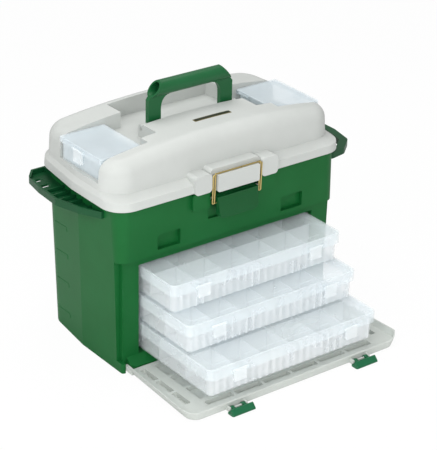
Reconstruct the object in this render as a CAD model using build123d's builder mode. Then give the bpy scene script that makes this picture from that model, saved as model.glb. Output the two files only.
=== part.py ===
from build123d import *
import os

os.makedirs("parts", exist_ok=True)

# Shared fits
running_fit = 0.06
seat_gap = 0.3
slide_gap = 0.8
overrun = 2.0

# Tub: a tapering shell, open at the top, with a door recess and drawer bay at the front
tub_base_half = 222.0
tub_top_half = 229.0
tub_front = -123.0
tub_base_back = 122.0
tub_top_back = 128.0
tub_height = 308.0
tub_wall = 3.2
tub_base_front_radius = 5.0
tub_top_front_radius = 26.0
tub_rear_radius = 40.0
crease_y = -2.0
pinch_share = 0.12
band_low = 204.0
deck_thickness = 3.2
recess_depth = 9.0
step_depth = 17.0
step_width = 6.4
foot_top = 18.0
foot_slot = 7.2
toe_front = -133.0
toe_top = 12.0
toe_radius = 10.0
bay_gap = 5.5
sill_top = 24.0
bay_top = 190.0
floor_rib_count = 5
floor_rib_pitch = 70.0
floor_rib_thickness = 2.6
floor_rib_back = 100.0
runner_gap = 0.9
runner_thickness = 3.0
runner_back = 74.0

# Catch pockets in the front band
pocket_x = 129.0
pocket_half = 23.0
pocket_low = 212.0
pocket_high = 239.0
pocket_depth = 8.0
pocket_wall = 2.6
pocket_radius = 2.0

# Latch place on the tub: a shallow recess between two raised pads
latch_recess_half = 50.0
latch_recess_low = 240.0
latch_recess_depth = 5.0
pad_outer = 86.0
pad_low = 265.0
pad_high = 295.0
pad_proud = 7.0
pad_radius = 4.0
lever_axis_y = -126.5
lever_axis_z = 280.0
lever_pin_radius = 2.5
lever_pin_half = 58.0

# Rear hinge of the lid
hinge_y = 147.0
hinge_z = 301.0
hinge_radius = 6.0
hinge_pin_radius = 2.5
hinge_x = 150.0
hinge_tub_half = 12.0
hinge_lid_width = 12.0
hinge_end_gap = 0.5
hinge_arm_low = 277.0
hinge_arm_top = 297.4
hinge_arm_front = 125.0
hinge_arm_mid = 140.0
hinge_lid_top = 313.0

# Lid: a domed shell with a skirt round the tub rim
skirt_low = 299.0
skirt_high = 313.0
dome_low = 321.0
dome_top = 388.0
lid_half = 240.0
lid_front = -131.0
lid_back = 138.0
lid_front_radius = 40.0
lid_rear_radius = 56.0
skirt_draft = 1.2
shoulder_front = 21.0
shoulder_side = 7.0
shoulder_back = 13.0
dome_front_radius = 44.0
dome_sag = 21.0
dome_draft = 4.0
dome_edge_radius = 24.0
lid_wall = 3.0
rim_ledge_inset = 12.0

# Small boxes set into the two ends of the lid top
notch_inner = 135.0
notch_front = -70.0
notch_back = 54.0
notch_floor = 332.0
tray_gap = 1.4
tray_inner = 143.5
tray_outer = 224.0
tray_top = 369.6
tray_wall = 1.8
tray_radius = 5.0
tray_lid_outer = 227.0
tray_lid_top = 372.0
tray_lid_plate = 2.0
tray_lid_skirt = 10.0
tray_lid_wall = 1.7
tray_lid_edge = 2.0
tray_axis_x = 140.8
tray_axis_z = 367.0
tray_barrel_radius = 2.6
tray_pin_radius = 1.3
tray_barrel_half = 9.0
tray_lug_width = 3.2
tray_barrel_y = 40.0
tray_lid_reach = 2.2
tray_latch_axis_z = 366.0

# Carrying handle and the well it folds into
well_wing = 104.0
well_wing_front = -50.0
well_front = -11.0
well_back = 95.0
well_floor = 356.0
handle_axis_y = 1.0
handle_axis_z = 371.0
handle_half = 87.0
leg_width = 25.0
leg_thickness = 9.0
handle_barrel_radius = 6.5
handle_pin_radius = 3.0
handle_lug_gap = 0.8
handle_lug_width = 12.0
handle_lug_radius = 8.0
handle_pin_inner = 64.0
handle_pin_outer = 100.0
grip_radius = 13.2
grip_bore = 10.2
grip_z = 436.8
bend_low = 419.0
bend_inset = 24.0

# Front latch: lid tab, lever and wire bail
tab_half = 43.0
tab_low = 294.0
tab_high = 325.0
tab_proud = 10.0
tab_core = 3.0
tab_radius = 3.0
fairing_half = 52.0
fairing_top = 333.0
fairing_back = -106.0
fairing_inset = 1.0
fairing_radius = 8.0
ear_inner = 52.0
ear_outer = 86.0
ear_low = 295.6
ear_high = 329.0
ear_proud = 5.0
ear_radius = 7.0
bail_wire_radius = 1.4
bail_half = 46.2
bail_hook = 9.0
bail_axis_y = -134.5
bail_axis_z = 273.0
bail_bar_y = -136.5
bail_bar_z = 326.5
bail_seat_radius = 1.7
lever_half = 42.5
lever_front = -139.0
lever_back = -134.5
lever_low = 249.0
lever_lip = -142.5
lever_lip_z = 247.0
lever_bend_z = 258.0
lever_top = 283.5
lever_corner = 9.0
lever_barrel_radius = 5.2
lever_knuckle_radius = 4.5

# Front door, lying open in front of the tub
door_base_inset = 13.5
door_rim_inset = 3.0
door_spread = 9.0
door_axis_y = -118.7
door_axis_z = 9.0
door_rear = -135.5
door_edge = -313.0
door_low = 0.8
door_high = 11.8
door_rim_top = 21.0
door_rim_fall = 14.0
door_skin = 3.0
door_radius = 20.0
door_hem = 2.4
door_rim = 5.0
door_rib = 3.2
ladder_width = 11.0
ladder_pocket = 40.0
ladder_count = 3
ladder_pitch = 45.0
ladder_radius = 2.0
front_pocket_depth = 13.0
field_count = 6
field_pitch = 59.0
field_width = 53.0
field_front = -275.0
field_back = -145.0
door_ear_gap = 0.6
door_ear_radius = 4.2
door_pin_radius = 2.0
door_pin_grip = 9.0
door_pin_seat = 3.4

# Catches on the free edge of the door
catch_x = 131.0
catch_half = 23.0
catch_axis_y = -318.6
catch_axis_z = 5.2
catch_bar_radius = 2.0
catch_knuckle_radius = 4.0
catch_knuckle_in = 8.0
catch_knuckle_out = 14.4
catch_lug_in = 15.2
catch_lug_out = 18.4
catch_outer = -337.0
catch_low = 1.0
catch_plate = 4.0
catch_near = -323.6
catch_arm_top = 8.0
catch_hook_near = -331.5
catch_hook_high = 9.0
catch_hook_inset = 4.0
catch_radius = 3.0

# Clear utility boxes in the drawer bay
box_length = 356.0
box_depth = 228.0
box_height = 53.0
box_skirt = 20.0
box_plate = 2.0
box_lid_wall = 2.0
box_lid_radius = 12.0
box_lid_edge = 2.5
box_overhang = 4.0
box_base_shrink = 1.5
box_base_radius = 10.0
box_base_edge = 3.5
box_wall = 1.8
box_panel_margin = 15.0
box_panel_depth = 0.8
box_pitch = 54.0
box_fronts = {"bottom": -304.0, "middle": -246.5, "top": -203.0}
box_latch_x = 118.0
box_latch_rise = 41.0
divider_thickness = 1.5
divider_height = 38.0
divider_clearance = 3.7
divider_rows = 2
divider_columns = 5

# Snap latches of the clear boxes
snap_half = 12.0
snap_axis_out = 2.9
snap_barrel_radius = 2.3
snap_pin_radius = 1.2
snap_pin_length = 2.8
snap_lug_gap = 0.4
snap_lug_width = 3.0
snap_plate_in = 1.9
snap_plate_out = 4.3
snap_low = -20.0
snap_hook_top = -17.5
snap_hook_in = -1.2
snap_lift = 2.2
snap_lift_out = 5.6
ridge_top = -13.0
ridge_low = -17.1
ridge_out = 0.9
ridge_half = 9.0

# Side handles under the lid rim, with slots for hand tools
grab_low = 274.0
grab_top = 286.0
grab_plate = 4.0
grab_rim = 4.0
grab_root_depth = 18.0
grab_bend_from = 15.0
rack_points = [(4.0, -80.0), (24.0, -42.0), (38.0, 6.0), (35.0, 62.0), (28.0, 104.0), (10.0, 126.0)]
rack_bend_radius = 16.0
rack_slot_length = 24.0
rack_slot_width = 9.0
rack_slot_out = 17.0
rack_slot_y = [72.0, 97.0]
rack_hole_radius = 5.0
rack_hole_out = 18.0
rack_hole_y = [-6.0, 14.0, 34.0]
rack_rib = 3.0
rack_rib_drop = 2.0
rack_rib_reach = 38.0
rack_rib_y = [-44.0, -16.0, 4.0, 24.0, 46.0]
loop_points = [(5.0, -108.0), (33.0, -103.0), (62.0, -78.0), (72.0, -30.0), (72.0, 40.0), (60.0, 88.0),
               (5.0, 116.0)]
loop_bend_radius = 14.0
loop_strap = 15.0


def save(part, label):
    """Name a finished piece and write it to its own file."""
    part.label = label
    export_step(part, f"parts/{label}.step")


def plan_loft(sections):
    """Ruled loft through outlines that narrow behind a crease: level, half, front, back, two corner radii."""
    with BuildPart() as block:
        for level, half, front, back, front_radius, rear_radius in sections:
            rear_half = half - pinch_share * (back - crease_y)
            with BuildSketch(Plane.XY.offset(level)) as plan:
                with BuildLine():
                    Polyline((-half, front), (half, front), (half, crease_y), (rear_half, back),
                             (-rear_half, back), (-half, crease_y), close=True)
                make_face()
                fillet(plan.vertices().group_by(Axis.Y)[-1], rear_radius)
                fillet(plan.vertices().group_by(Axis.Y)[0], front_radius)
        loft(ruled=True)
    return block.part


def tub_half(level):
    """Half width of the tapering tub at a height."""
    return tub_base_half + (tub_top_half - tub_base_half) * level / tub_height


def tub_back(level):
    """Back face of the tapering tub at a height."""
    return tub_base_back + (tub_top_back - tub_base_back) * level / tub_height


def tub_block(low, high, inset, front):
    """Block of the tub's outline between two heights, moved inwards by an inset."""
    sections = []
    for level in (low, high):
        spread = tub_top_front_radius - tub_base_front_radius
        corner = tub_base_front_radius + spread * level / tub_height
        sections.append((level, tub_half(level) - inset, front, tub_back(level) - inset,
                         corner - inset, tub_rear_radius - inset))
    return plan_loft(sections)


def bar_along_x(y, z, radius, start, end):
    """Round bar parallel to X between two positions."""
    with BuildPart() as bar:
        with BuildSketch(Plane.YZ.offset(start)):
            with Locations((y, z)):
                Circle(radius)
        extrude(amount=end - start)
    return bar.part


def slab(x_range, y_range, z_range, radius):
    """Upright block with rounded vertical edges, given by its limits."""
    with BuildPart() as block:
        with BuildSketch(Plane.XY.offset(z_range[0])) as plan:
            with Locations(((x_range[0] + x_range[1]) / 2, (y_range[0] + y_range[1]) / 2)):
                Rectangle(x_range[1] - x_range[0], y_range[1] - y_range[0])
            if radius:
                fillet(plan.vertices(), radius)
        extrude(amount=z_range[1] - z_range[0])
    return block.part


def front_pad(x_range, z_range, y_back, y_front, radius):
    """Raised pad on a front face, with rounded corners seen from the front."""
    with BuildPart() as pad:
        with BuildSketch(Plane.XZ.offset(-y_back)) as face:
            with Locations(((x_range[0] + x_range[1]) / 2, (z_range[0] + z_range[1]) / 2)):
                Rectangle(x_range[1] - x_range[0], z_range[1] - z_range[0])
            fillet(face.vertices(), radius)
        extrude(amount=y_back - y_front)
    return pad.part


def mirrored(span, side):
    """Limits of a span on the left (-1) or right (+1) side."""
    return sorted((side * span[0], side * span[1]))


# Tub with bay, sill, runners, latch place, catch pockets and hinge knuckles
post_face = tub_front + recess_depth
step_y = tub_front + step_depth
recess_half = tub_base_half - step_width
slot_inner = recess_half - foot_slot
bay_half = box_length / 2 + bay_gap
runner_inner = box_length / 2 - box_overhang + runner_gap
deck_top = band_low + deck_thickness
box_levels = {name: sill_top + seat_gap + box_pitch * row for row, name in enumerate(box_fronts)}
latch_wall = tub_front + latch_recess_depth + tub_wall
with BuildPart() as toe:
    add(slab((-slot_inner, slot_inner), (toe_front, step_y), (0, sill_top), toe_radius))
    with BuildSketch(Plane.YZ):
        with BuildLine():
            Polyline((post_face, sill_top), (toe_front - overrun, toe_top),
                     (toe_front - overrun, sill_top + overrun), (post_face, sill_top + overrun), close=True)
        make_face()
    extrude(amount=tub_top_half, both=True, mode=Mode.SUBTRACT)

with BuildPart() as runners:
    for side in (-1, 1):
        for name in ("middle", "top"):
            shelf = box_levels[name] + box_height - box_skirt - seat_gap
            add(slab(mirrored((runner_inner, tub_top_half), side), (step_y + tub_wall / 2, runner_back),
                     (shelf - runner_thickness, shelf), 0))
    add(tub_block(0, tub_height, tub_wall / 2, tub_front), mode=Mode.INTERSECT)

with BuildPart() as tub:
    add(tub_block(0, tub_height, 0, tub_front))
    add(tub_block(deck_top, tub_height + overrun, tub_wall, tub_front + tub_wall), mode=Mode.SUBTRACT)
    add(tub_block(tub_wall, band_low, tub_wall, step_y + tub_wall), mode=Mode.SUBTRACT)
    add(slab((-tub_top_half, tub_top_half), (tub_front - overrun, post_face), (foot_top, band_low), 0),
        mode=Mode.SUBTRACT)
    for side in (-1, 1):
        add(slab(mirrored((recess_half, tub_top_half), side), (tub_front - overrun, step_y),
                 (foot_top, band_low), 0), mode=Mode.SUBTRACT)
        add(slab(mirrored((slot_inner, recess_half), side), (tub_front - overrun, post_face),
                 (-overrun, foot_top), 0), mode=Mode.SUBTRACT)
    add(toe.part)
    add(runners.part)
    add(slab((-bay_half, bay_half), (post_face - overrun, step_y + tub_wall + overrun),
             (sill_top, bay_top), 0), mode=Mode.SUBTRACT)
    add(slab((-latch_recess_half - tub_wall, latch_recess_half + tub_wall),
             (tub_front + tub_wall / 2, latch_wall),
             (latch_recess_low - tub_wall, tub_height), 0))
    with BuildSketch(Plane.XY.offset(tub_wall)):
        rib_front = step_y + tub_wall / 2
        with Locations((0, (rib_front + floor_rib_back) / 2)):
            with GridLocations(floor_rib_pitch, 0, floor_rib_count, 1):
                Rectangle(floor_rib_thickness, floor_rib_back - rib_front)
    extrude(amount=sill_top - tub_wall)
    for side in (-1, 1):
        add(front_pad(mirrored((latch_recess_half + slide_gap, pad_outer), side), (pad_low, pad_high),
                      tub_front + tub_wall / 2, tub_front - pad_proud, pad_radius))
        add(slab(mirrored((pocket_x - pocket_half - pocket_wall, pocket_x + pocket_half + pocket_wall), side),
                 (tub_front + tub_wall / 2, tub_front + pocket_depth + pocket_wall),
                 (band_low, pocket_high + pocket_wall), 0))
        add(front_pad(mirrored((pocket_x - pocket_half, pocket_x + pocket_half), side),
                      (pocket_low, pocket_high), tub_front + pocket_depth, tub_front - overrun,
                      pocket_radius), mode=Mode.SUBTRACT)
        with BuildSketch(Plane.YZ.offset(side * hinge_x)):
            with BuildLine():
                Polyline((hinge_arm_front, hinge_arm_low), (hinge_arm_front, hinge_arm_top),
                         (hinge_arm_mid, hinge_arm_top), (hinge_y, hinge_z),
                         (hinge_y, hinge_z - hinge_radius), close=True)
            make_face()
            with Locations((hinge_y, hinge_z)):
                Circle(hinge_radius)
        extrude(amount=hinge_tub_half, both=True)
        add(bar_along_x(hinge_y, hinge_z, hinge_pin_radius + running_fit,
                        side * hinge_x - hinge_tub_half - overrun,
                        side * hinge_x + hinge_tub_half + overrun), mode=Mode.SUBTRACT)
        add(bar_along_x(door_axis_y, door_axis_z, door_pin_radius + running_fit,
                        *mirrored((slot_inner - door_pin_grip - seat_gap,
                                   recess_half + door_pin_seat + seat_gap), side)), mode=Mode.SUBTRACT)
    add(front_pad((-latch_recess_half, latch_recess_half),
                  (latch_recess_low, tub_height + pad_radius + overrun),
                  tub_front + latch_recess_depth, tub_front - overrun, pad_radius), mode=Mode.SUBTRACT)
    add(bar_along_x(lever_axis_y, lever_axis_z, lever_pin_radius + running_fit,
                    -lever_pin_half, lever_pin_half), mode=Mode.SUBTRACT)
save(tub.part, "tub")

# Lid shell: skirt, shoulder and dome outside; stepped hollow inside, kept clear of the wells


def lid_section(level, inset, shoulder_share, corner):
    """Outline of the lid at a height: an inset all round, a share of the shoulder and a front corner."""
    return (level, lid_half - inset - shoulder_share * shoulder_side,
            lid_front + inset + shoulder_share * shoulder_front,
            lid_back - inset - shoulder_share * shoulder_back,
            corner - inset, lid_rear_radius - inset - shoulder_share * shoulder_back)


def above_crown(drop):
    """Block above the crowned top of the dome, lowered by a drop."""
    ends = dome_top - dome_sag - drop
    with BuildPart() as block:
        with BuildSketch(Plane.XZ):
            with BuildLine():
                ThreePointArc((-lid_half, ends), (0, dome_top - drop), (lid_half, ends))
                Polyline((lid_half, ends), (lid_half, dome_top + overrun),
                         (-lid_half, dome_top + overrun), (-lid_half, ends))
            make_face()
        extrude(amount=lid_back - lid_front, both=True)
    return block.part


def well_block(grow, low, high):
    """Space of the handle well and its two wings beside the small boxes."""
    with BuildPart() as block:
        add(slab((-well_wing - grow, well_wing + grow), (well_front - grow, well_back + grow),
                 (low, high), 0))
        for side in (-1, 1):
            add(slab(mirrored((well_wing - grow, notch_inner + overrun), side),
                     (well_wing_front - grow, notch_back + grow), (low, high), 0))
    return block.part


edge_low = dome_top - dome_sag - dome_edge_radius
with BuildPart() as lid_hollow:
    add(plan_loft([lid_section(tub_height + seat_gap, rim_ledge_inset, 0, lid_front_radius),
                   lid_section(dome_low, lid_wall, 1, dome_front_radius),
                   lid_section(edge_low, lid_wall + dome_draft, 1, dome_front_radius),
                   lid_section(dome_top, lid_wall + dome_draft + dome_edge_radius, 1, dome_front_radius)]))
    add(above_crown(lid_wall), mode=Mode.SUBTRACT)
    for side in (-1, 1):
        add(slab(mirrored((notch_inner - lid_wall, lid_half), side),
                 (notch_front - lid_wall, notch_back + lid_wall),
                 (notch_floor - lid_wall, dome_top), 0), mode=Mode.SUBTRACT)
    add(well_block(lid_wall, well_floor - lid_wall, dome_top), mode=Mode.SUBTRACT)

tab_front = lid_front - tab_proud
with BuildPart() as lid:
    add(plan_loft([lid_section(skirt_low, 0, 0, lid_front_radius),
                   lid_section(skirt_high, skirt_draft, 0, lid_front_radius),
                   lid_section(dome_low, 0, 1, dome_front_radius),
                   lid_section(dome_top, dome_draft, 1, dome_front_radius)]))
    add(above_crown(0), mode=Mode.SUBTRACT)
    fillet(lid.faces().sort_by(Axis.Z)[-1].edges(), dome_edge_radius)
    add(front_pad((-fairing_half, fairing_half), (skirt_low, fairing_top), fairing_back,
                  lid_front + fairing_inset, fairing_radius))
    add(front_pad((-tab_half, tab_half), (tab_low, tab_high), lid_front + lid_wall, tab_front, tab_radius))
    for side in (-1, 1):
        add(front_pad(mirrored((ear_inner, ear_outer), side), (ear_low, ear_high),
                      lid_front + shoulder_front + lid_wall / 2, lid_front - ear_proud, ear_radius))
        with BuildSketch(Plane.YZ.offset(side * hinge_x)):
            with BuildLine():
                Polyline((lid_back - lid_wall, skirt_low + seat_gap), (lid_back - lid_wall, hinge_lid_top),
                         (hinge_y, hinge_z + hinge_radius), (hinge_y, hinge_z), close=True)
            make_face()
            with Locations((hinge_y, hinge_z)):
                Circle(hinge_radius)
        extrude(amount=hinge_tub_half + hinge_end_gap + hinge_lid_width, both=True)
    add(plan_loft([lid_section(skirt_low - overrun - tab_radius, lid_wall, 0, lid_front_radius),
                   lid_section(tub_height + seat_gap, lid_wall, 0, lid_front_radius)]), mode=Mode.SUBTRACT)
    add(lid_hollow.part, mode=Mode.SUBTRACT)
    add(front_pad((-tab_half + tab_core, tab_half - tab_core), (tab_low + tab_core, tab_high - tab_core),
                  lid_front + lid_wall + overrun, tab_front + tab_core, tab_radius), mode=Mode.SUBTRACT)
    for side in (-1, 1):
        add(slab(mirrored((notch_inner, lid_half + overrun), side), (notch_front, notch_back),
                 (notch_floor, dome_top + overrun), 0), mode=Mode.SUBTRACT)
        knuckle_gap = hinge_tub_half + hinge_end_gap
        add(slab((side * hinge_x - knuckle_gap, side * hinge_x + knuckle_gap),
                 (lid_back + seat_gap, hinge_y + hinge_radius + overrun),
                 (hinge_z - hinge_radius - overrun, hinge_lid_top + overrun), 0), mode=Mode.SUBTRACT)
        add(bar_along_x(hinge_y, hinge_z, hinge_pin_radius + running_fit,
                        side * hinge_x - knuckle_gap - hinge_lid_width - overrun,
                        side * hinge_x + knuckle_gap + hinge_lid_width + overrun), mode=Mode.SUBTRACT)
    add(well_block(0, well_floor, dome_top + overrun), mode=Mode.SUBTRACT)
    for side in (-1, 1):
        lug_middle = handle_half + handle_lug_gap + handle_lug_width / 2
        with BuildSketch(Plane.YZ.offset(side * lug_middle)):
            lug_height = handle_axis_z - well_floor + lid_wall / 2
            with Locations((handle_axis_y, handle_axis_z - lug_height / 2)):
                Rectangle(2 * handle_lug_radius, lug_height)
            with Locations((handle_axis_y, handle_axis_z)):
                Circle(handle_lug_radius)
                Circle(handle_pin_radius + running_fit, mode=Mode.SUBTRACT)
        extrude(amount=handle_lug_width / 2, both=True)
    add(bar_along_x(bail_bar_y, bail_bar_z, bail_seat_radius, -tab_half - overrun, tab_half + overrun),
        mode=Mode.SUBTRACT)
save(lid.part, "lid")

# Hinge pins of the lid, handle, lever and door
pin_reach = hinge_tub_half + hinge_end_gap + hinge_lid_width
for side, name in ((-1, "left"), (1, "right")):
    save(bar_along_x(hinge_y, hinge_z, hinge_pin_radius,
                     side * hinge_x - pin_reach, side * hinge_x + pin_reach), f"lid_hinge_pin_{name}")
    save(bar_along_x(handle_axis_y, handle_axis_z, handle_pin_radius,
                     *mirrored((handle_pin_inner, handle_pin_outer), side)), f"handle_pin_{name}")
    save(bar_along_x(door_axis_y, door_axis_z, door_pin_radius,
                     *mirrored((slot_inner - door_pin_grip, recess_half + door_pin_seat), side)),
         f"door_pin_{name}")
save(bar_along_x(lever_axis_y, lever_axis_z, lever_pin_radius,
                 -lever_pin_half + seat_gap, lever_pin_half - seat_gap), "latch_lever_pin")

# Carrying handle: two flat legs and a hollow round grip cut off at a slant
with BuildPart() as handle:
    with BuildSketch(Plane.YZ.offset(-handle_half)):
        with Locations((handle_axis_y, grip_z)):
            Circle(grip_radius)
    extrude(amount=2 * handle_half)
    for side in (-1, 1):
        add(slab(mirrored((handle_half - leg_width, handle_half), side),
                 (handle_axis_y - leg_thickness / 2, handle_axis_y + leg_thickness / 2),
                 (handle_axis_z, grip_z), 0))
        add(bar_along_x(handle_axis_y, handle_axis_z, handle_barrel_radius,
                        *mirrored((handle_half - leg_width, handle_half), side)))
    add(bar_along_x(handle_axis_y, grip_z, grip_bore, -handle_half - overrun, handle_half + overrun),
        mode=Mode.SUBTRACT)
    for side in (-1, 1):
        with BuildSketch(Plane.XZ.offset(-handle_axis_y)):
            with BuildLine():
                Polyline((side * handle_half, bend_low),
                         (side * (handle_half - bend_inset), grip_z + grip_radius),
                         (side * (handle_half - bend_inset), grip_z + grip_radius + overrun),
                         (side * (handle_half + overrun), grip_z + grip_radius + overrun),
                         (side * (handle_half + overrun), bend_low), close=True)
            make_face()
        extrude(amount=grip_radius + overrun, both=True, mode=Mode.SUBTRACT)
        add(bar_along_x(handle_axis_y, handle_axis_z, handle_pin_radius + running_fit,
                        *mirrored((handle_pin_inner - overrun, handle_half + overrun), side)),
            mode=Mode.SUBTRACT)
save(handle.part, "handle")

# Latch lever: bent finger plate with a barrel on the pin and knuckles for the wire
with BuildPart() as lever:
    with BuildSketch(Plane.YZ):
        with BuildLine():
            Polyline((lever_front, lever_top), (lever_front, lever_bend_z), (lever_lip, lever_low),
                     (lever_lip, lever_lip_z), (lever_lip - lever_front + lever_back, lever_lip_z),
                     (lever_back, lever_bend_z), (lever_back, lever_axis_z - lever_barrel_radius),
                     (lever_axis_y, lever_axis_z - lever_barrel_radius),
                     (lever_axis_y, lever_top), close=True)
        make_face()
        with Locations((lever_axis_y, lever_axis_z)):
            Circle(lever_barrel_radius)
        with Locations((bail_axis_y, bail_axis_z)):
            Circle(lever_knuckle_radius)
    extrude(amount=lever_half, both=True)
    add(front_pad((-lever_half, lever_half), (lever_lip_z, lever_top + lever_corner),
                  lever_axis_y + lever_barrel_radius, lever_lip, lever_corner), mode=Mode.INTERSECT)
    add(bar_along_x(lever_axis_y, lever_axis_z, lever_pin_radius + running_fit,
                    -lever_half - overrun, lever_half + overrun), mode=Mode.SUBTRACT)
    for side in (-1, 1):
        add(bar_along_x(bail_axis_y, bail_axis_z, bail_wire_radius + running_fit,
                        *mirrored((bail_half - bail_hook - seat_gap, lever_half + overrun), side)),
            mode=Mode.SUBTRACT)
save(lever.part, "latch_lever")

# Wire bail: crossbar over the lid tab, two legs and hooks into the lever
with BuildPart() as bail:
    with BuildLine() as wire:
        Polyline((-bail_half + bail_hook, bail_axis_y, bail_axis_z), (-bail_half, bail_axis_y, bail_axis_z),
                 (-bail_half, bail_bar_y, bail_bar_z), (bail_half, bail_bar_y, bail_bar_z),
                 (bail_half, bail_axis_y, bail_axis_z), (bail_half - bail_hook, bail_axis_y, bail_axis_z))
    with BuildSketch(Plane(origin=wire.line @ 0, z_dir=wire.line % 0)):
        Circle(bail_wire_radius)
    sweep(transition=Transition.ROUND)
save(bail.part, "latch_bail")

# Front door: shallow pan with raised side rims, ladders of pockets and ears on the hinge pins


def door_block(levels, inset, rear):
    """Block of the door's outline between two heights: it widens upwards and towards the free edge."""
    with BuildPart() as block:
        for level in levels:
            rise_share = (level - door_low) / (door_rim_top - door_low)
            half = tub_base_half - door_base_inset + rise_share * (door_base_inset - door_rim_inset) - inset
            with BuildSketch(Plane.XY.offset(level)) as plan:
                with BuildLine():
                    Polyline((-half, rear), (half, rear), (half + door_spread, door_edge + inset),
                             (-half - door_spread, door_edge + inset), close=True)
                make_face()
                fillet(plan.vertices().group_by(Axis.Y)[0], door_radius - inset)
        loft(ruled=True)
    return block.part


with BuildPart() as door:
    add(door_block((door_low, door_rim_top), 0, door_rear))
    fillet(door.faces().sort_by(Axis.Z)[0].edges(), door_hem)
    add(door_block((door_high, door_rim_top + overrun), door_hem, door_rear + overrun), mode=Mode.SUBTRACT)
    with BuildSketch(Plane.YZ):
        with BuildLine():
            Polyline((door_edge + door_rim_fall, door_rim_top), (door_edge - overrun, door_high),
                     (door_edge - overrun, door_rim_top + overrun),
                     (door_edge + door_rim_fall, door_rim_top + overrun), close=True)
        make_face()
    extrude(amount=tub_top_half, both=True, mode=Mode.SUBTRACT)
    with BuildSketch(Plane.XY.offset(door_high)):
        with Locations((0, (field_front + field_back) / 2)):
            for side in (-1, 1):
                ladder_x = tub_base_half - door_base_inset - door_rim - ladder_width / 2
                with Locations((side * ladder_x, 0)):
                    with GridLocations(0, ladder_pitch, 1, ladder_count):
                        RectangleRounded(ladder_width, ladder_pocket, ladder_radius)
            with GridLocations(field_pitch, ladder_pitch, field_count, ladder_count):
                RectangleRounded(field_width, ladder_pocket, ladder_radius)
        with Locations((0, door_edge + door_rim + door_rib + front_pocket_depth)):
            with GridLocations(field_pitch, 0, field_count, 1):
                RectangleRounded(field_width, front_pocket_depth, ladder_radius)
    extrude(amount=door_low + door_skin - door_high, mode=Mode.SUBTRACT)
    for side in (-1, 1):
        with BuildSketch(Plane.YZ.offset(side * (slot_inner + recess_half) / 2)):
            with BuildLine():
                Polyline((door_axis_y, door_axis_z - door_ear_radius),
                         (door_axis_y, door_axis_z + door_ear_radius),
                         (door_rear, door_high), (door_rear - door_rim, door_high),
                         (door_rear - door_rim, door_low + door_skin),
                         (door_rear, door_low + door_skin), close=True)
            make_face()
            with Locations((door_axis_y, door_axis_z)):
                Circle(door_ear_radius)
        extrude(amount=foot_slot / 2 - door_ear_gap, both=True)
        add(bar_along_x(door_axis_y, door_axis_z, door_pin_radius + running_fit,
                        *mirrored((slot_inner - overrun, recess_half + overrun), side)), mode=Mode.SUBTRACT)
        for lug in (-1, 1):
            near = side * catch_x + lug * (catch_lug_in + catch_lug_out) / 2
            with BuildSketch(Plane.YZ.offset(near)):
                with Locations((catch_axis_y, catch_axis_z)):
                    Circle(catch_knuckle_radius)
                with Locations(((catch_axis_y + door_edge + door_rim) / 2, catch_axis_z)):
                    Rectangle(door_edge + door_rim - catch_axis_y, 2 * catch_knuckle_radius)
            extrude(amount=(catch_lug_out - catch_lug_in) / 2, both=True)
        add(bar_along_x(catch_axis_y, catch_axis_z, catch_bar_radius,
                        side * catch_x - catch_lug_in, side * catch_x + catch_lug_in))
save(door.part, "front_door")

# Catches: a finger plate with two knuckles on the door's bar and a hook for the band pocket
hook_far = catch_outer + catch_radius
plate_top = catch_low + catch_plate
for side, name in ((-1, "left"), (1, "right")):
    with BuildPart() as catch:
        with BuildSketch(Plane.XY.offset(catch_low)) as plate_plan:
            with Locations((side * catch_x, (catch_outer + catch_near) / 2)):
                Rectangle(2 * catch_half, catch_near - catch_outer)
            fillet(plate_plan.vertices().group_by(Axis.Y)[0], catch_radius)
        extrude(amount=catch_plate)
        for knuckle in (-1, 1):
            middle = side * catch_x + knuckle * (catch_knuckle_in + catch_knuckle_out) / 2
            with BuildSketch(Plane.YZ.offset(middle)):
                with Locations((catch_axis_y, catch_axis_z)):
                    Circle(catch_knuckle_radius)
                with BuildLine():
                    Polyline((catch_axis_y, catch_axis_z - catch_knuckle_radius), (catch_near, catch_low),
                             (catch_hook_near, catch_low + catch_plate), (catch_near, catch_arm_top),
                             (catch_axis_y, catch_axis_z + catch_knuckle_radius), close=True)
                make_face()
            extrude(amount=(catch_knuckle_out - catch_knuckle_in) / 2, both=True)
        with BuildSketch(Plane.YZ.offset(side * catch_x)):
            with BuildLine():
                Polyline((hook_far, plate_top), (catch_hook_near, plate_top),
                         (catch_hook_near, catch_hook_high), (hook_far, plate_top + seat_gap), close=True)
            make_face()
        extrude(amount=catch_half - catch_hook_inset, both=True)
        add(bar_along_x(catch_axis_y, catch_axis_z, catch_bar_radius + running_fit,
                        side * catch_x - catch_half, side * catch_x + catch_half), mode=Mode.SUBTRACT)
    save(catch.part, f"door_catch_{name}")


def snap_latch(plane):
    """Snap latch in a plane across its pin: local x points outwards, local y up."""
    with BuildPart() as snap:
        with BuildSketch(plane):
            with BuildLine():
                Polyline((snap_plate_in, 0), (snap_plate_in, snap_hook_top), (snap_hook_in, snap_hook_top),
                         (snap_hook_in, snap_low + snap_lift), (snap_plate_in, snap_low),
                         (snap_lift_out, snap_low), (snap_plate_out, snap_low + 2 * snap_lift),
                         (snap_plate_out, 0), close=True)
            make_face()
            with Locations((snap_axis_out, 0)):
                Circle(snap_barrel_radius)
        extrude(amount=snap_half, both=True)
        with BuildSketch(plane):
            with Locations((snap_axis_out, 0)):
                Circle(snap_pin_radius)
        extrude(amount=snap_half + snap_pin_length, both=True)
    return snap.part


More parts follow.
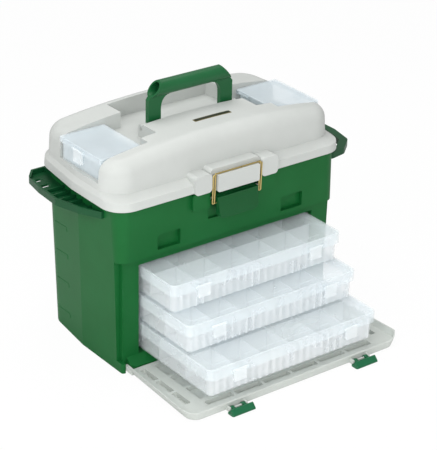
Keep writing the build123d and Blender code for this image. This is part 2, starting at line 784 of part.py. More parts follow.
def snap_lugs(plane):
    """Two lugs on a lid skirt that carry the pin stubs of a snap latch."""
    with BuildPart() as lugs:
        for end in (-1, 1):
            near = snap_half + snap_lug_gap
            with BuildSketch(plane.offset(end * (near + snap_lug_width / 2))):
                with Locations((snap_axis_out, 0)):
                    Circle(snap_barrel_radius)
                with Locations((snap_axis_out / 2 - seat_gap, 0)):
                    Rectangle(snap_axis_out + 2 * seat_gap, 2 * snap_barrel_radius)
                with Locations((snap_axis_out, 0)):
                    Circle(snap_pin_radius + running_fit, mode=Mode.SUBTRACT)
            extrude(amount=snap_lug_width / 2, both=True)
    return lugs.part


def snap_ridge(plane, reach):
    """Ridge on a base wall under which the hook of a snap latch sits."""
    with BuildPart() as ridge:
        with BuildSketch(plane):
            with BuildLine():
                Polyline((-reach, ridge_top), (ridge_out, ridge_low + seat_gap), (ridge_out, ridge_low),
                         (-reach, ridge_low), close=True)
            make_face()
        extrude(amount=ridge_half, both=True)
    return ridge.part


def base_block(middle, low, high, inset):
    """Tapering block of a utility box base, moved inwards by an inset."""
    with BuildPart() as block:
        for level, taper in ((low, box_base_shrink), (high, 0)):
            shrink = box_overhang + taper + inset
            with BuildSketch(Plane.XY.offset(level)):
                with Locations((0, middle)):
                    RectangleRounded(box_length - 2 * shrink, box_depth - 2 * shrink, box_base_radius - inset)
        loft()
        fillet(block.faces().sort_by(Axis.Z)[0].edges(), box_base_edge - inset)
    return block.part


# Clear utility boxes: base, lid, dividers and two snap latches each
divider_inset = box_overhang + box_wall + divider_clearance
divider_row_pitch = (box_depth - 2 * box_overhang) / (divider_rows + 1)
divider_column_pitch = (box_length - 2 * box_overhang) / (divider_columns + 1)
for name, front in box_fronts.items():
    low = box_levels[name]
    middle = front + box_depth / 2
    planes = {end: Plane(origin=(x, front, low + box_latch_rise), x_dir=(0, -1, 0), z_dir=(-1, 0, 0))
              for end, x in (("left", -box_latch_x), ("right", box_latch_x))}
    rim = low + box_height - box_plate - seat_gap
    with BuildPart() as base:
        add(base_block(middle, low, rim, 0))
        add(base_block(middle, low + box_wall, rim + overrun, box_wall), mode=Mode.SUBTRACT)
        for plane in planes.values():
            add(snap_ridge(plane, box_overhang + box_wall / 2))
    save(base.part, f"box_{name}_base")
    with BuildPart() as cover:
        with BuildSketch(Plane.XY.offset(low + box_height - box_skirt)):
            with Locations((0, middle)):
                RectangleRounded(box_length, box_depth, box_lid_radius)
        extrude(amount=box_skirt)
        fillet(cover.faces().sort_by(Axis.Z)[-1].edges(), box_lid_edge)
        with BuildSketch(Plane.XY.offset(low + box_height - box_skirt)):
            with Locations((0, middle)):
                RectangleRounded(box_length - 2 * box_lid_wall, box_depth - 2 * box_lid_wall,
                                 box_lid_radius - box_lid_wall)
        extrude(amount=box_skirt - box_plate, mode=Mode.SUBTRACT)
        with BuildSketch(Plane.XY.offset(low + box_height)):
            with Locations((0, middle)):
                RectangleRounded(box_length - 2 * box_panel_margin, box_depth - 2 * box_panel_margin,
                                 box_lid_radius)
        extrude(amount=-box_panel_depth, mode=Mode.SUBTRACT)
        for plane in planes.values():
            add(snap_lugs(plane))
    save(cover.part, f"box_{name}_lid")
    with BuildPart() as dividers:
        with BuildSketch(Plane.XY.offset(low + box_wall)):
            with Locations((0, middle)):
                with GridLocations(0, divider_row_pitch, 1, divider_rows):
                    Rectangle(box_length - 2 * divider_inset, divider_thickness)
                with GridLocations(divider_column_pitch, 0, divider_columns, 1):
                    Rectangle(divider_thickness, box_depth - 2 * divider_inset)
        extrude(amount=divider_height)
    save(dividers.part, f"box_{name}_dividers")
    for end, plane in planes.items():
        save(snap_latch(plane), f"box_{name}_latch_{end}")

# Small boxes in the lid ends: tray, hinged cover and one snap latch each
tray_front = notch_front + tray_gap
tray_back = notch_back - tray_gap
tray_middle = (tray_front + tray_back) / 2
tray_inset = tray_lid_wall + slide_gap
lug_near = tray_barrel_half + snap_lug_gap
tray_lid_rise = tray_lid_top - tray_lid_plate / 2 - tray_axis_z
for side, name in ((-1, "left"), (1, "right")):
    latch_plane = Plane(origin=(side * tray_lid_outer, tray_middle, tray_latch_axis_z),
                        x_dir=(side, 0, 0), z_dir=(0, -side, 0))
    axis_plane = Plane(origin=(side * tray_axis_x, tray_middle, tray_axis_z),
                       x_dir=(side, 0, 0), z_dir=(0, -side, 0))
    with BuildPart() as tray:
        for inset, mode in ((0, Mode.ADD), (tray_wall, Mode.SUBTRACT)):
            add(slab(mirrored((tray_inner + inset, tray_outer - inset), side),
                     (tray_front + tray_inset + inset, tray_back - tray_inset - inset),
                     (notch_floor + seat_gap + inset, tray_top), tray_radius - inset), mode=mode)
        add(snap_ridge(latch_plane, tray_lid_outer - tray_outer + tray_wall / 2))
        for barrel in (-1, 1):
            for lug in (-1, 1):
                along = barrel * tray_barrel_y + lug * (lug_near + tray_lug_width / 2)
                with BuildSketch(axis_plane.offset(along)):
                    Circle(tray_barrel_radius)
                    with Locations(((tray_inner + tray_wall / 2 - tray_axis_x) / 2, -tray_barrel_radius / 2)):
                        Rectangle(tray_inner + tray_wall / 2 - tray_axis_x, tray_barrel_radius)
                extrude(amount=tray_lug_width / 2, both=True)
                with BuildSketch(axis_plane.offset(along)):
                    Circle(tray_pin_radius)
                extrude(amount=-lug * tray_barrel_half)
    save(tray.part, f"top_box_{name}_base")
    with BuildPart() as tray_lid:
        add(slab(mirrored((tray_axis_x - tray_lid_reach, tray_lid_outer), side), (tray_front, tray_back),
                 (tray_lid_top - tray_lid_skirt, tray_lid_top), tray_lid_edge))
        fillet(tray_lid.faces().sort_by(Axis.Z)[-1].edges(), tray_lid_edge - seat_gap)
        add(slab(mirrored((tray_axis_x - tray_lid_reach - overrun, tray_lid_outer - tray_lid_wall), side),
                 (tray_front + tray_lid_wall, tray_back - tray_lid_wall),
                 (tray_lid_top - tray_lid_skirt - overrun, tray_lid_top - tray_lid_plate), tray_lid_edge),
            mode=Mode.SUBTRACT)
        for barrel in (-1, 1):
            with BuildSketch(axis_plane.offset(barrel * tray_barrel_y)):
                Circle(tray_barrel_radius)
                with Locations(((slide_gap - tray_lid_reach) / 2, tray_lid_rise / 2)):
                    Rectangle(tray_lid_reach + slide_gap, tray_lid_rise)
                Circle(tray_pin_radius + running_fit, mode=Mode.SUBTRACT)
            extrude(amount=tray_barrel_half, both=True)
        add(snap_lugs(latch_plane))
    save(tray_lid.part, f"top_box_{name}_lid")
    save(snap_latch(latch_plane), f"top_box_{name}_latch")

# Side handles under the lid rim: a tool rack on the left and a carrying loop on the right


def grab_plan(points, side, radius):
    """Outline of a side handle, rooted inside the tub, with its outer corners rounded."""
    root = side * (tub_top_half - grab_root_depth)
    outline = [(side * (tub_top_half + out), y) for out, y in points]
    with BuildSketch() as plan:
        with BuildLine():
            Polyline(*outline, (root, outline[-1][1]), (root, outline[0][1]), close=True)
        make_face()
        fillet([v for v in plan.vertices() if side * v.X > tub_top_half + grab_bend_from], radius)
    return plan.sketch


with BuildPart() as rack:
    rack_plan = grab_plan(rack_points, -1, rack_bend_radius)
    with BuildSketch(Plane.XY.offset(grab_low)):
        add(rack_plan)
    extrude(amount=grab_top - grab_low)
    with BuildSketch(Plane.XY.offset(grab_top)):
        offset(rack_plan, amount=-grab_rim, kind=Kind.INTERSECTION)
    extrude(amount=grab_low + grab_plate - grab_top, mode=Mode.SUBTRACT)
    with BuildSketch(Plane.XY.offset(grab_low)):
        with Locations([(-tub_top_half, y) for y in rack_rib_y]):
            Rectangle(2 * rack_rib_reach, rack_rib)
        add(rack_plan, mode=Mode.INTERSECT)
    extrude(amount=grab_top - grab_low - rack_rib_drop)
    with BuildSketch(Plane.XY.offset(grab_top)):
        with Locations([(-tub_top_half - rack_slot_out, y) for y in rack_slot_y]):
            SlotOverall(rack_slot_length, rack_slot_width)
        with Locations([(-tub_top_half - rack_hole_out, y) for y in rack_hole_y]):
            Circle(rack_hole_radius)
    extrude(amount=grab_low - grab_top, mode=Mode.SUBTRACT)
    add(tub_block(0, tub_height, 0, tub_front), mode=Mode.SUBTRACT)
save(rack.part, "side_handle_left")

with BuildPart() as loop:
    loop_plan = grab_plan(loop_points, 1, loop_bend_radius)
    with BuildSketch(Plane.XY.offset(grab_low)):
        add(loop_plan)
        offset(loop_plan, amount=-loop_strap, kind=Kind.INTERSECTION, mode=Mode.SUBTRACT)
    extrude(amount=grab_top - grab_low)
    add(tub_block(0, tub_height, 0, tub_front), mode=Mode.SUBTRACT)
save(loop.part, "side_handle_right")
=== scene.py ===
import math

import bmesh
import bpy
from mathutils import Matrix, Vector


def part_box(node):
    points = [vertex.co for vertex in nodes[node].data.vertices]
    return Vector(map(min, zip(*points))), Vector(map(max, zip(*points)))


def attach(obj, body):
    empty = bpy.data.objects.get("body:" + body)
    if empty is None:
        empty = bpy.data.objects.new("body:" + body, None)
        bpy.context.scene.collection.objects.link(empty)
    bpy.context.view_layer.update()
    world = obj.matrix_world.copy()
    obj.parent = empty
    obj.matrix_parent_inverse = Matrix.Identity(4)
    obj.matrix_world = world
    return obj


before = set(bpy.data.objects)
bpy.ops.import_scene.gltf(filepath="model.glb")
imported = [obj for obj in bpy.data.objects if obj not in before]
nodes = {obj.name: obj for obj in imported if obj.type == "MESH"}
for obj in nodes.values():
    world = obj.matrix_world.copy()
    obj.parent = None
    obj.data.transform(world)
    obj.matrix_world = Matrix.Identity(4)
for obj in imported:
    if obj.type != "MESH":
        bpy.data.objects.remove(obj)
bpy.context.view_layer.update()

# The tub is one injection-moulded shell of green polypropylene, open at the top and at the front bay.
# Its satin skin has a fine spark-eroded grain, is slightly mottled and is rubbed paler in spots.
# Behind the crease of each side four short slanted ribs are moulded on the outside.


def moulded_plastic(name, colour, pale, sheen, roughness, grain, depth):
    """Moulded polypropylene: soft mottling, rubbed paler patches and a fine grain."""
    cloud_scale, cloud_detail, cloud_roughness = 9.0, 5.0, 0.6
    plain_until, pale_from = 0.3, 0.75
    grain_detail, grain_height = 2.0, 0.0004
    gloss_below, gloss_above = 0.07, 0.09
    refraction = 1.49
    material = bpy.data.materials.new(name)
    material.use_nodes = True
    tree = material.node_tree
    shader = tree.nodes["Principled BSDF"]
    place = tree.nodes.new("ShaderNodeTexCoord")
    cloud = tree.nodes.new("ShaderNodeTexNoise")
    cloud.inputs["Scale"].default_value = cloud_scale
    cloud.inputs["Detail"].default_value = cloud_detail
    cloud.inputs["Roughness"].default_value = cloud_roughness
    tree.links.new(place.outputs["Object"], cloud.inputs["Vector"])
    tint = tree.nodes.new("ShaderNodeValToRGB")
    tint.color_ramp.elements[0].position = plain_until
    tint.color_ramp.elements[0].color = (*colour, 1.0)
    tint.color_ramp.elements[1].position = pale_from
    tint.color_ramp.elements[1].color = (*pale, 1.0)
    tree.links.new(cloud.outputs["Fac"], tint.inputs["Fac"])
    tree.links.new(tint.outputs["Color"], shader.inputs["Base Color"])
    spark = tree.nodes.new("ShaderNodeTexNoise")
    spark.inputs["Scale"].default_value = grain
    spark.inputs["Detail"].default_value = grain_detail
    tree.links.new(place.outputs["Object"], spark.inputs["Vector"])
    gloss = tree.nodes.new("ShaderNodeMapRange")
    gloss.inputs["To Min"].default_value = roughness - gloss_below
    gloss.inputs["To Max"].default_value = roughness + gloss_above
    tree.links.new(spark.outputs["Fac"], gloss.inputs["Value"])
    tree.links.new(gloss.outputs["Result"], shader.inputs["Roughness"])
    bump = tree.nodes.new("ShaderNodeBump")
    bump.inputs["Strength"].default_value = depth
    bump.inputs["Distance"].default_value = grain_height
    tree.links.new(spark.outputs["Fac"], bump.inputs["Height"])
    tree.links.new(bump.outputs["Normal"], shader.inputs["Normal"])
    shader.inputs["IOR"].default_value = refraction
    shader.inputs["Specular IOR Level"].default_value = sheen
    return material


def dress(material, *names):
    """Give the solids of these names one finish."""
    for name in names:
        nodes[name].data.materials.clear()
        nodes[name].data.materials.append(material)


def add_piece(name, shape, material, body):
    """Turn a finished bmesh into a piece that rides a body and takes a material slot."""
    mesh = bpy.data.meshes.new(name)
    shape.to_mesh(mesh)
    shape.free()
    mesh.materials.append(material)
    piece = bpy.data.objects.new(name, mesh)
    bpy.context.scene.collection.objects.link(piece)
    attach(piece, body)


def rounded_bar(length, width, height, radius):
    """Small bar along Y with rounded edges, centred on the origin."""
    bar = bmesh.new()
    bmesh.ops.create_cube(bar, size=1.0)
    bmesh.ops.scale(bar, verts=bar.verts, vec=(height, length, width))
    bmesh.ops.bevel(bar, geom=bar.edges[:], offset=radius, offset_type="OFFSET", affect="EDGES",
                    segments=3, profile=0.5, material=-1)
    return bar


green_shell = moulded_plastic("green_shell", colour=(0.004, 0.100, 0.020), pale=(0.007, 0.118, 0.027),
                              sheen=0.18, roughness=0.45, grain=1400.0, depth=0.12)
dress(green_shell, "tub")
tub_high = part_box("tub")[1]
side_flare, crease_y, pinch_share = 0.007, -0.002, 0.12
rib_length, rib_width, rib_height = 0.046, 0.008, 0.0011
rib_levels = (0.198, 0.145, 0.090, 0.031)
rib_middle_y, rib_fall, rib_run = 0.067, 0.005, 0.035
rib_tilt = -math.atan2(rib_fall, rib_run)
pinch = pinch_share * (rib_middle_y - crease_y)
for side, sign in (("left", -1.0), ("right", 1.0)):
    for row, level in enumerate(rib_levels):
        rib = rounded_bar(rib_length, rib_width, rib_height, rib_height / 3)
        half = tub_high[0] - side_flare * (1 - level / tub_high[2]) - pinch
        bmesh.ops.rotate(rib, verts=rib.verts, cent=(0, 0, 0), matrix=Matrix.Rotation(rib_tilt, 3, "X"))
        bmesh.ops.rotate(rib, verts=rib.verts, cent=(0, 0, 0),
                         matrix=Matrix.Rotation(sign * math.atan(pinch_share), 3, "Z"))
        bmesh.ops.translate(rib, verts=rib.verts, vec=(sign * half, rib_middle_y, level))
        add_piece(f"tub_rib_{side}_{row}", rib, green_shell, "tub")

# The side handles are separate mouldings of green polypropylene, fixed to the tub's walls under
# the lid's rim: a tool rack with slots and holes on the left and a carrying loop on the right.
# Their green is the tub's green painted darker, as painted shade for the shade under the lid's rim.
green_rack_shaded = moulded_plastic("green_rack_shaded", colour=(0.003, 0.056, 0.017), pale=(0.005, 0.072, 0.023),
                             sheen=0.26, roughness=0.38, grain=1800.0, depth=0.08)
dress(green_rack_shaded, "side_handle_left", "side_handle_right")

# The lid is one moulding of ivory polypropylene with a crowned top and a fine leathery grain.
# It turns on two pins in knuckles at the back.
ivory_shell = moulded_plastic("ivory_shell", colour=(0.50, 0.52, 0.50), pale=(0.55, 0.57, 0.55),
                              sheen=0.3, roughness=0.5, grain=900.0, depth=0.35)
dress(ivory_shell, "lid")

# The pins of the lid, the handle, the door and the lever are cut from plain drawn steel wire.
# They lie in bores with a running fit.


def drawn_wire(name, colour, roughness):
    """Drawn wire: metal with fine streaks along its length."""
    streak_scale, streak_detail, dull_share = 260.0, 3.0, 0.85
    gloss_below, gloss_above = 0.06, 0.1
    material = bpy.data.materials.new(name)
    material.use_nodes = True
    tree = material.node_tree
    shader = tree.nodes["Principled BSDF"]
    shader.inputs["Metallic"].default_value = 1.0
    place = tree.nodes.new("ShaderNodeTexCoord")
    streak = tree.nodes.new("ShaderNodeTexNoise")
    streak.inputs["Scale"].default_value = streak_scale
    streak.inputs["Detail"].default_value = streak_detail
    tree.links.new(place.outputs["Object"], streak.inputs["Vector"])
    tint = tree.nodes.new("ShaderNodeValToRGB")
    tint.color_ramp.elements[0].color = (*[c * dull_share for c in colour], 1.0)
    tint.color_ramp.elements[1].color = (*colour, 1.0)
    tree.links.new(streak.outputs["Fac"], tint.inputs["Fac"])
    tree.links.new(tint.outputs["Color"], shader.inputs["Base Color"])
    gloss = tree.nodes.new("ShaderNodeMapRange")
    gloss.inputs["To Min"].default_value = roughness - gloss_below
    gloss.inputs["To Max"].default_value = roughness + gloss_above
    tree.links.new(streak.outputs["Fac"], gloss.inputs["Value"])
    tree.links.new(gloss.outputs["Result"], shader.inputs["Roughness"])
    return material


steel_pin = drawn_wire("steel_pin", colour=(0.60, 0.60, 0.58), roughness=0.35)
dress(steel_pin, "latch_lever_pin")
for side in ("left", "right"):
    dress(steel_pin, f"lid_hinge_pin_{side}", f"handle_pin_{side}", f"door_pin_{side}")

# A plain strip lies on the crown in front of the handle: bronze foil with a dark field inside its edge.
# It follows the crown's curve and is glued on.
lid_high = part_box("lid")[1]
crown_sag = 0.021
crown_radius = (lid_high[0] ** 2 + crown_sag ** 2) / (2 * crown_sag)
strip_left, strip_right = -0.030, 0.045
strip_front, strip_back = -0.0575, -0.0485
strip_steps = 12
edge_height, field_height, field_inset = 0.0006, 0.0009, 0.0014
bronze_foil = drawn_wire("bronze_foil", colour=(0.30, 0.24, 0.09), roughness=0.42)
dark_foil = moulded_plastic("dark_foil", colour=(0.018, 0.022, 0.012), pale=(0.026, 0.030, 0.016),
                            sheen=0.3, roughness=0.4, grain=900.0, depth=0.05)
for name, foil, inset, height in (("crown_strip", bronze_foil, 0.0, edge_height),
                                  ("crown_strip_field", dark_foil, field_inset, field_height)):
    strip = bmesh.new()
    bmesh.ops.create_grid(strip, x_segments=strip_steps, y_segments=1, size=0.5)
    for vert in strip.verts:
        x = strip_left + inset + (vert.co.x + 0.5) * (strip_right - strip_left - 2 * inset)
        y = strip_front + inset + (vert.co.y + 0.5) * (strip_back - strip_front - 2 * inset)
        vert.co = (x, y, lid_high[2] - crown_radius + math.sqrt(crown_radius ** 2 - x ** 2))
    bmesh.ops.recalc_face_normals(strip, faces=strip.faces)
    bmesh.ops.solidify(strip, geom=strip.faces[:], thickness=-height)
    bmesh.ops.recalc_face_normals(strip, faces=strip.faces)
    add_piece(name, strip, foil, "lid")

# The carrying handle is moulded in green polypropylene and polished by hands: two flat legs and a hollow
# round grip. It folds on steel pins in the lid, and a curved web fills the corner between each leg and
# the grip.


def pull(shape, geom, vec):
    """Extrude faces of a shape along a vector and return the pulled geometry."""
    pulled = bmesh.ops.extrude_face_region(shape, geom=geom)["geom"]
    corners = [part for part in pulled if isinstance(part, bmesh.types.BMVert)]
    bmesh.ops.translate(shape, verts=corners, vec=vec)
    return pulled


green_grip = moulded_plastic("green_grip", colour=(0.004, 0.090, 0.024), pale=(0.008, 0.110, 0.034),
                             sheen=0.42, roughness=0.38, grain=1800.0, depth=0.08)
dress(green_grip, "handle")
handle_low, handle_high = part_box("handle")
leg_width, leg_thickness, grip_radius = 0.025, 0.009, 0.0132
leg_inner = handle_high[0] - leg_width
grip_under = handle_high[2] - 2 * grip_radius
web_front = (handle_low[1] + handle_high[1]) / 2 - leg_thickness / 2
web_reach, web_drop, web_root = 0.017, 0.022, 0.003
web_steps = 8
for side, sign in (("left", -1.0), ("right", 1.0)):
    outline = [(leg_inner + web_root, grip_under + web_root),
               (leg_inner - web_reach, grip_under + web_root)]
    for step in range(web_steps + 1):
        turn = math.pi / 2 * step / web_steps
        outline.append((leg_inner - web_reach * (1 - math.sin(turn)),
                        grip_under - web_drop * (1 - math.cos(turn))))
    outline.append((leg_inner + web_root, grip_under - web_drop))
    web = bmesh.new()
    sheet = web.faces.new([web.verts.new((sign * x, web_front, z)) for x, z in outline])
    pull(web, [sheet], (0.0, leg_thickness, 0.0))
    bmesh.ops.recalc_face_normals(web, faces=web.faces)
    add_piece(f"handle_web_{side}", web, green_grip, "handle")

# The draw latch: a dark green lever turns on a pin between the tub's pads and pulls a bail of brass wire
# down over the lid's tab. The bail's legs are bent back on themselves like hairpins, and the lever has
# a raised face with rounded lower corners, thicker towards its lip.
brass_wire = drawn_wire("brass_wire", colour=(0.58, 0.45, 0.18), roughness=0.28)
dress(brass_wire, "latch_bail")
bail_low, bail_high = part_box("latch_bail")
wire_radius, wire_sides = 0.0014, 12
hairpin_radius, hairpin_steps, hairpin_below_bar = 0.0021, 10, 0.006
leg_x = bail_high[0] - wire_radius
bend_x = leg_x + hairpin_radius
hairpin_low, hairpin_high = bail_low[2] + 2 * wire_radius, bail_high[2] - hairpin_below_bar
bail_y, bail_z = (bail_low[1] + bail_high[1]) / 2, (bail_low[2] + bail_high[2]) / 2
bail_lean_out, bail_lean_rise = 0.002, 0.0535
bail_lean = math.atan2(bail_lean_out, bail_lean_rise)
for side, sign in (("left", -1.0), ("right", 1.0)):
    hairpin = bmesh.new()
    bmesh.ops.create_circle(hairpin, cap_ends=True, segments=wire_sides, radius=wire_radius)
    bmesh.ops.translate(hairpin, verts=hairpin.verts, vec=(leg_x, bail_y, hairpin_low))
    lower_bend = bmesh.ops.spin(hairpin, geom=hairpin.faces[:], cent=(bend_x, bail_y, hairpin_low),
                                axis=(0.0, -1.0, 0.0), angle=math.pi, steps=hairpin_steps)
    outer_leg = pull(hairpin, lower_bend["geom_last"], (0.0, 0.0, hairpin_high - hairpin_low))
    bmesh.ops.spin(hairpin, geom=outer_leg, cent=(bend_x, bail_y, hairpin_high),
                   axis=(0.0, -1.0, 0.0), angle=math.pi, steps=hairpin_steps)
    bmesh.ops.scale(hairpin, verts=hairpin.verts, vec=(sign, 1.0, 1.0))
    bmesh.ops.rotate(hairpin, verts=hairpin.verts, cent=(0.0, bail_y, bail_z),
                     matrix=Matrix.Rotation(bail_lean, 3, "X"))
    bmesh.ops.recalc_face_normals(hairpin, faces=hairpin.faces)
    add_piece(f"bail_hairpin_{side}", hairpin, brass_wire, "latch_bail")
green_lever = moulded_plastic("green_lever", colour=(0.003, 0.070, 0.016), pale=(0.005, 0.086, 0.022),
                              sheen=0.24, roughness=0.36, grain=1800.0, depth=0.08)
dress(green_lever, "latch_lever")
lever_low, lever_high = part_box("latch_lever")
face_side_margin, face_top_margin, face_overhang = 0.002, 0.0037, 0.0008
face_root, face_thickness, face_swell = 0.006, 0.0027, 0.0052
face_half = lever_high[0] - face_side_margin
face_low, face_high = lever_low[2] - face_overhang, lever_high[2] - face_top_margin
face_back = lever_low[1] + face_root
face_corner, face_edge, corner_steps = 0.010, 0.0010, 8
outline = [(-face_half, face_high)]
for sign, first in ((-1.0, 0.0), (1.0, math.pi / 2)):
    for step in range(corner_steps + 1):
        turn = first + math.pi / 2 * step / corner_steps
        outline.append((sign * (face_half - face_corner) - face_corner * math.cos(turn),
                        face_low + face_corner - face_corner * math.sin(turn)))
outline.append((face_half, face_high))
face = bmesh.new()
sheet = face.faces.new([face.verts.new((x, face_back, z)) for x, z in outline])
pulled = pull(face, [sheet], (0.0, -face_thickness, 0.0))
front = next(part for part in pulled if isinstance(part, bmesh.types.BMFace))
for vert in front.verts:
    vert.co.y -= face_swell * (face_high - vert.co.z) / (face_high - face_low)
bmesh.ops.bevel(face, geom=front.edges[:], offset=face_edge, offset_type="OFFSET", affect="EDGES",
                segments=3, profile=0.5, material=-1)
bmesh.ops.recalc_face_normals(face, faces=face.faces)
add_piece("lever_face", face, green_lever, "latch_lever")

# The front door lies open in front of the bay: an ivory polypropylene pan moulded with raised rims and
# shallow fields. It turns on two pins at the foot of the bay.
ivory_door = moulded_plastic("ivory_door", colour=(0.50, 0.53, 0.50), pale=(0.57, 0.60, 0.57),
                             sheen=0.3, roughness=0.48, grain=1100.0, depth=0.2)
dress(ivory_door, "front_door")

# The two door catches are finger plates of bluish green polypropylene. Their knuckles turn on a bar at
# the door's free edge, and a sloping ridge across each plate gives the finger its hold.
green_catch = moulded_plastic("green_catch", colour=(0.008, 0.105, 0.042), pale=(0.012, 0.125, 0.052),
                              sheen=0.28, roughness=0.36, grain=1800.0, depth=0.08)
dress(green_catch, "door_catch_left", "door_catch_right")
ridge_front, ridge_crest, ridge_back = -0.0013, 0.0058, 0.0082
ridge_foot, ridge_lip, ridge_top, ridge_heel = 0.0002, 0.0032, 0.0102, 0.0020
ridge_profile = ((ridge_front, ridge_foot), (ridge_front, ridge_lip), (ridge_crest, ridge_top),
                 (ridge_back, ridge_top), (ridge_back, ridge_heel))
ridge_edge, ridge_inset = 0.0008, 0.0004
for side in ("left", "right"):
    low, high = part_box(f"door_catch_{side}")
    ridge = bmesh.new()
    end = ridge.faces.new([ridge.verts.new((low[0] + ridge_inset, low[1] + back, low[2] + up))
                           for back, up in ridge_profile])
    pull(ridge, [end], (high[0] - low[0] - 2 * ridge_inset, 0.0, 0.0))
    bmesh.ops.bevel(ridge, geom=ridge.edges[:], offset=ridge_edge, offset_type="OFFSET", affect="EDGES",
                    segments=2, profile=0.5, material=-1)
    bmesh.ops.recalc_face_normals(ridge, faces=ridge.faces)
    add_piece(f"catch_ridge_{side}", ridge, green_catch, f"door_catch_{side}")

# The clear boxes are thin-walled translucent polypropylene with snap latches of the same stuff: three
# long ones with divider grids in the bay, two small ones in the lid's ends. Slim upright ribs are moulded
# inside the front and back walls of the long ones.


def milky_clear(name, colour, cover, roughness):
    """Translucent polypropylene: a thin milky body with faint flow lines."""
    flow_scale, flow_detail, flow_bend, flow_light = 14.0, 4.0, 0.6, 1.06
    cover_spread, gloss_below, gloss_above = 0.03, 0.05, 0.07
    refraction = 1.49
    material = bpy.data.materials.new(name)
    material.use_nodes = True
    tree = material.node_tree
    shader = tree.nodes["Principled BSDF"]
    place = tree.nodes.new("ShaderNodeTexCoord")
    flow = tree.nodes.new("ShaderNodeTexNoise")
    flow.inputs["Scale"].default_value = flow_scale
    flow.inputs["Detail"].default_value = flow_detail
    flow.inputs["Distortion"].default_value = flow_bend
    tree.links.new(place.outputs["Object"], flow.inputs["Vector"])
    tint = tree.nodes.new("ShaderNodeValToRGB")
    tint.color_ramp.elements[0].color = (*colour, 1.0)
    tint.color_ramp.elements[1].color = (*[min(1.0, c * flow_light) for c in colour], 1.0)
    tree.links.new(flow.outputs["Fac"], tint.inputs["Fac"])
    tree.links.new(tint.outputs["Color"], shader.inputs["Base Color"])
    haze = tree.nodes.new("ShaderNodeMapRange")
    haze.inputs["To Min"].default_value = cover - cover_spread
    haze.inputs["To Max"].default_value = cover + cover_spread
    tree.links.new(flow.outputs["Fac"], haze.inputs["Value"])
    tree.links.new(haze.outputs["Result"], shader.inputs["Alpha"])
    gloss = tree.nodes.new("ShaderNodeMapRange")
    gloss.inputs["To Min"].default_value = roughness - gloss_below
    gloss.inputs["To Max"].default_value = roughness + gloss_above
    tree.links.new(flow.outputs["Fac"], gloss.inputs["Value"])
    tree.links.new(gloss.outputs["Result"], shader.inputs["Roughness"])
    shader.inputs["IOR"].default_value = refraction
    return material


def divider_guides(level):
    """Slim upright ribs inside the front and back walls of a box, between which dividers can be set."""
    guide_width, guide_reach, guide_overlap = 0.0034, 0.0047, 0.001
    guide_count, guide_pitch = 23, 0.0145
    low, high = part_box(f"box_{level}_dividers")
    guides = bmesh.new()
    for wall_y, outward in ((low[1], -1.0), (high[1], 1.0)):
        for place in range(guide_count):
            x = (place - (guide_count - 1) / 2) * guide_pitch + guide_width
            made = bmesh.ops.create_cube(guides, size=1.0)
            bmesh.ops.scale(guides, verts=made["verts"], vec=(guide_width, guide_reach, high[2] - low[2]))
            bmesh.ops.translate(guides, verts=made["verts"],
                                vec=(x, wall_y + outward * (guide_reach / 2 - guide_overlap),
                                     (low[2] + high[2]) / 2))
    return guides


clear_base = milky_clear("clear_base", colour=(0.925, 0.965, 1.00), cover=0.275, roughness=0.22)
clear_lid = milky_clear("clear_lid", colour=(0.88, 0.95, 1.00), cover=0.275, roughness=0.24)
clear_divider = milky_clear("clear_divider", colour=(0.92, 0.96, 1.00), cover=0.30, roughness=0.25)
clear_guide = milky_clear("clear_guide", colour=(0.95, 0.98, 1.00), cover=0.44, roughness=0.25)
# The small boxes' clear is the long boxes' clear greyed down: painted shade, not a different plastic.
clear_tray_shaded = milky_clear("clear_tray_shaded", colour=(0.78, 0.85, 0.885), cover=0.37, roughness=0.24)
clear_latch = milky_clear("clear_latch", colour=(0.92, 0.96, 0.98), cover=0.31, roughness=0.25)
for level in ("bottom", "middle", "top"):
    dress(clear_base, f"box_{level}_base")
    dress(clear_lid, f"box_{level}_lid")
    dress(clear_divider, f"box_{level}_dividers")
    dress(clear_latch, f"box_{level}_latch_left", f"box_{level}_latch_right")
    add_piece(f"box_{level}_guides", divider_guides(level), clear_guide, f"box_{level}")
for side in ("left", "right"):
    dress(clear_tray_shaded, f"top_box_{side}_base", f"top_box_{side}_lid")
    dress(clear_latch, f"top_box_{side}_latch")

# The stage is a plain sheet of pale paper under the part. It is white to the camera and
# still takes a soft shadow.
floor_half, floor_drop = 6.0, 0.0004
paper_grey, white_share = 0.87, 0.96
floor_mesh = bpy.data.meshes.new("floor")
sheet = bmesh.new()
bmesh.ops.create_grid(sheet, x_segments=1, y_segments=1, size=floor_half)
bmesh.ops.translate(sheet, verts=sheet.verts, vec=(0.0, 0.0, -floor_drop))
sheet.to_mesh(floor_mesh)
sheet.free()
floor = bpy.data.objects.new("floor", floor_mesh)
bpy.context.scene.collection.objects.link(floor)
paper = bpy.data.materials.new("paper")
paper.use_nodes = True
tree = paper.node_tree
tree.nodes.remove(tree.nodes["Principled BSDF"])
matt = tree.nodes.new("ShaderNodeBsdfDiffuse")
matt.inputs["Color"].default_value = (paper_grey, paper_grey, paper_grey, 1.0)
white = tree.nodes.new("ShaderNodeEmission")
white.inputs["Strength"].default_value = 1.0
rays = tree.nodes.new("ShaderNodeLightPath")
seen = tree.nodes.new("ShaderNodeMath")
seen.operation = "MULTIPLY"
seen.inputs[1].default_value = white_share
tree.links.new(rays.outputs["Is Camera Ray"], seen.inputs[0])
mix = tree.nodes.new("ShaderNodeMixShader")
tree.links.new(seen.outputs["Value"], mix.inputs["Fac"])
tree.links.new(matt.outputs["BSDF"], mix.inputs[1])
tree.links.new(white.outputs["Emission"], mix.inputs[2])
tree.links.new(mix.outputs["Shader"], tree.nodes["Material Output"].inputs["Surface"])
floor_mesh.materials.append(paper)

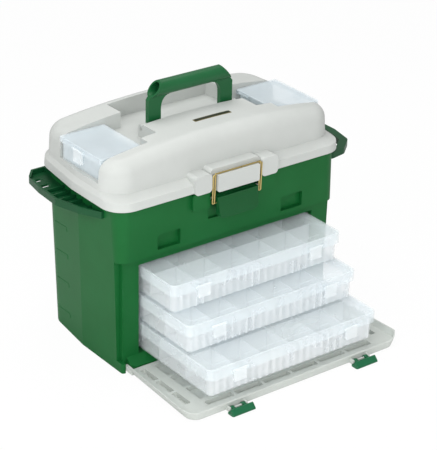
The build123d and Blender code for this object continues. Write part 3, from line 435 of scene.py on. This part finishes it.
# The surroundings are an even white room, dimmer as a light than to the eye:
# pure white where the camera looks past the floor.
room_strength = 0.48
world = bpy.data.worlds.new("studio")
bpy.context.scene.world = world
world.use_nodes = True
tree = world.node_tree
ground = tree.nodes["Background"]
ground.inputs["Color"].default_value = (1.0, 1.0, 1.0, 1.0)
ground.inputs["Strength"].default_value = room_strength
backdrop = tree.nodes.new("ShaderNodeBackground")
backdrop.inputs["Strength"].default_value = 1.0
rays = tree.nodes.new("ShaderNodeLightPath")
either = tree.nodes.new("ShaderNodeMath")
either.operation = "MAXIMUM"
tree.links.new(rays.outputs["Is Camera Ray"], either.inputs[0])
tree.links.new(rays.outputs["Is Transmission Ray"], either.inputs[1])
mix = tree.nodes.new("ShaderNodeMixShader")
tree.links.new(either.outputs["Value"], mix.inputs["Fac"])
tree.links.new(ground.outputs["Background"], mix.inputs[1])
tree.links.new(backdrop.outputs["Background"], mix.inputs[2])
tree.links.new(mix.outputs["Shader"], tree.nodes["World Output"].inputs["Surface"])

# Three soft boxes light the part: a large key high on the left, a fill from the front left
# and one from above, all aimed at its middle.
lit_middle = Vector((0.0, -0.1, 0.2))
for name, place, size, power in (("key", (-1.7, -0.7, 1.3), 1.3, 20.0),
                                 ("fill", (-0.6, -2.0, 1.05), 1.4, 19.5),
                                 ("top", (0.1, 0.35, 2.1), 1.4, 20.0)):
    lamp = bpy.data.lights.new(name, "AREA")
    lamp.energy = power
    lamp.size = size
    soft_box = bpy.data.objects.new(name, lamp)
    soft_box.location = place
    aim = lit_middle - Vector(place)
    soft_box.rotation_euler = aim.to_track_quat("-Z", "Y").to_euler()
    bpy.context.scene.collection.objects.link(soft_box)

# The camera stands left of the front and above the lid, with a long lens. Light has to pass many
# thin clear walls, so the limits on transparent and diffuse bounces are raised.
azimuth = math.radians(-37.36)
elevation = math.radians(26.13)
roll = math.radians(1.20)
target = Vector((-0.0337, -0.120, 0.2207))
distance = 3.033
photo_width, photo_height = 437.0, 450.0
focal_pixels = 1815.0
centre_x, centre_y = 214.5, 226.6
view = Vector((-math.sin(azimuth) * math.cos(elevation), math.cos(azimuth) * math.cos(elevation),
               -math.sin(elevation)))
lens = bpy.data.cameras.new("camera")
lens.sensor_fit = "HORIZONTAL"
lens.sensor_width = 36.0
lens.lens = focal_pixels / photo_width * lens.sensor_width
lens.shift_x = (photo_width / 2 - centre_x) / photo_width
lens.shift_y = (centre_y - photo_height / 2) / photo_width
lens.clip_end = 30.0
camera = bpy.data.objects.new("camera", lens)
camera.matrix_world = (Matrix.Translation(target - view * distance)
                       @ view.to_track_quat("-Z", "Y").to_matrix().to_4x4()
                       @ Matrix.Rotation(roll, 4, "Z"))
bpy.context.scene.collection.objects.link(camera)
bpy.context.scene.camera = camera
bpy.context.scene.view_settings.view_transform = "Standard"
bpy.context.scene.cycles.transparent_max_bounces = 32
bpy.context.scene.cycles.diffuse_bounces = 8
